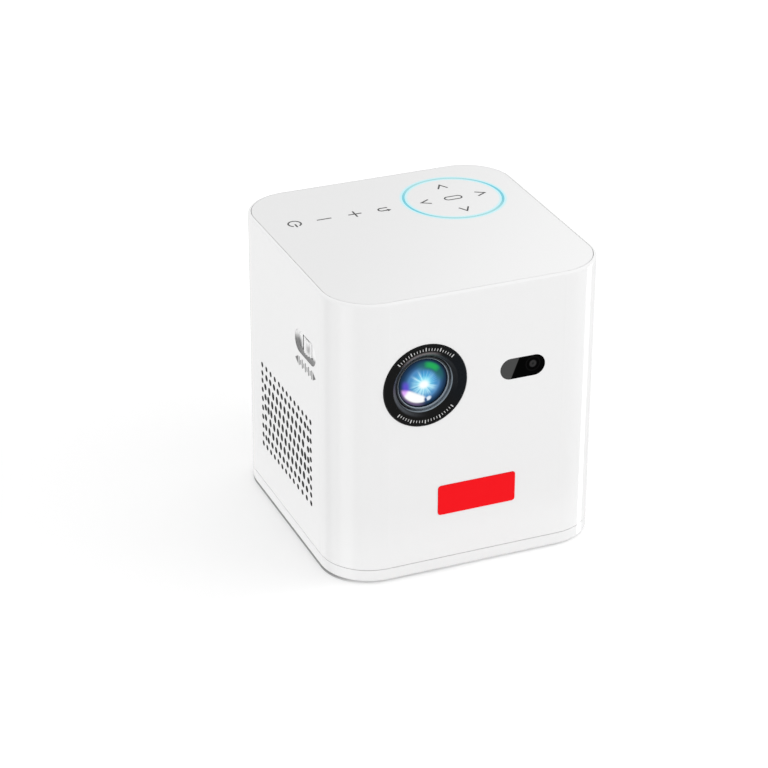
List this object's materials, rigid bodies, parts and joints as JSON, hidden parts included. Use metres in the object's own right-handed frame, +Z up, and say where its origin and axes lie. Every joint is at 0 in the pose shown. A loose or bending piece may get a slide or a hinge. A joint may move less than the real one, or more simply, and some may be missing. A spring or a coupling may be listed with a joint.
{
  "type": "mini cube projector",
  "caption": "White cube-shaped mini video projector with a touch panel and light ring on top, a sliding lens, a side focus thumbwheel and round-hole grilles.",
  "frame": {"origin": "on the table under the middle of the body", "axes": "+Z up, the lens looks along -Y, the focus wheel is on the -X side"},
  "size_m": [0.102, 0.1023, 0.1079],
  "materials": {
    "white_casing": "glossy white ABS",
    "top_panel": "glossy white touch panel",
    "light_ring": "translucent cyan light guide",
    "circuit_board": "green solder mask",
    "conductive_foam": "grey conductive foam",
    "led_package": "white LED packages",
    "foot_rubber": "black rubber",
    "steel": "zinc-plated steel",
    "sheet_aluminium": "plain aluminium",
    "brass": "turned brass",
    "red_label": "glossy red label",
    "black_window": "dark infrared-transparent plastic",
    "dark_plastic": "black matte plastic",
    "black_bezel": "satin black",
    "black_barrel": "black anodised",
    "coated_glass": "coated optical glass",
    "optical_glass": "clear optical glass",
    "dichroic_glass": "dichroic coating",
    "focus_wheel": "glossy white ribbed plastic",
    "engine_casting": "die-cast, black",
    "led_board": "white aluminium-core board",
    "chip_package": "black chip packages",
    "copper": "plain copper",
    "fan_plastic": "black fan plastic",
    "black_mesh": "black nylon mesh",
    "speaker_paper": "coated paper",
    "battery_wrap": "blue shrink wrap",
    "socket_steel": "nickel-plated steel",
    "socket_plastic": "black socket plastic",
    "port_panel": "glossy black insert",
    "flex_film": "polyimide film"
  },
  "bodies": {
    "housing": {"outer_sleeve": "white_casing", "top_panel": "top_panel", "light_ring": "light_ring", "touch_board": "circuit_board", "touch_pads": "conductive_foam", "ring_leds": "led_package", "base_plate": "white_casing", "rubber_feet": "foot_rubber", "base_screws": "steel", "tripod_insert": "brass", "front_label": "red_label", "sensor_window": "black_window", "camera_module": "dark_plastic", "infrared_receiver": "dark_plastic", "sensor_board": "circuit_board", "lens_bezel": "black_bezel", "lens_tube": "black_barrel", "rear_lens_element": "optical_glass", "focus_axle": "steel", "focus_bracket": "steel", "focus_surround": "white_casing", "engine_housing": "engine_casting", "engine_cover": "sheet_aluminium", "red_led_module": "led_board", "green_led_module": "led_board", "blue_led_module": "led_board", "collimator_lenses": "optical_glass", "dichroic_mirrors": "dichroic_glass", "fly_eye_lens": "optical_glass", "tir_prism": "optical_glass", "dmd_chip": "chip_package", "dmd_board": "circuit_board", "dmd_heat_sink": "sheet_aluminium", "led_heat_spreader": "copper", "heat_pipes": "copper", "heat_sink": "sheet_aluminium", "fan_frame": "dark_plastic", "dust_screens": "black_mesh", "speaker_basket": "dark_plastic", "speaker_cone": "speaker_paper", "speaker_magnet": "steel", "battery_cells": "battery_wrap", "battery_tray": "dark_plastic", "main_board": "circuit_board", "board_chips": "chip_package", "hdmi_socket": "socket_steel", "usb_socket": "socket_steel", "audio_socket": "socket_plastic", "power_socket": "socket_plastic", "port_panel": "port_panel", "chassis_plate": "sheet_aluminium", "chassis_posts": "brass", "chassis_screws": "steel", "flex_cables": "flex_film"},
    "focus_wheel": {"focus_wheel": "focus_wheel"},
    "focus_lens": {"lens_cell": "black_barrel", "front_lens_element": "coated_glass", "lens_retaining_ring": "black_barrel"},
    "fan": {"fan_rotor": "fan_plastic"}
  },
  "joints": [
    {"name": "focus_turn", "type": "hinge", "parent": "housing", "child": "focus_wheel", "pos_m": [-0.04185, -0.0198, 0.0808], "axis": [0, 0, 1], "range_deg": [-41, 41]},
    {"name": "lens_slide", "type": "slide", "parent": "housing", "child": "focus_lens", "axis": [0, -1, 0], "range_m": [-0.0014, 0.0014]},
    {"name": "fan_spin", "type": "hinge", "parent": "housing", "child": "fan", "pos_m": [-0.0433, 0, 0.03757], "axis": [1, 0, 0], "continuous": true}
  ],
  "couplings": [
    {"joint": "focus_turn", "follows": "lens_slide", "rad_per_m": -500}
  ]
}
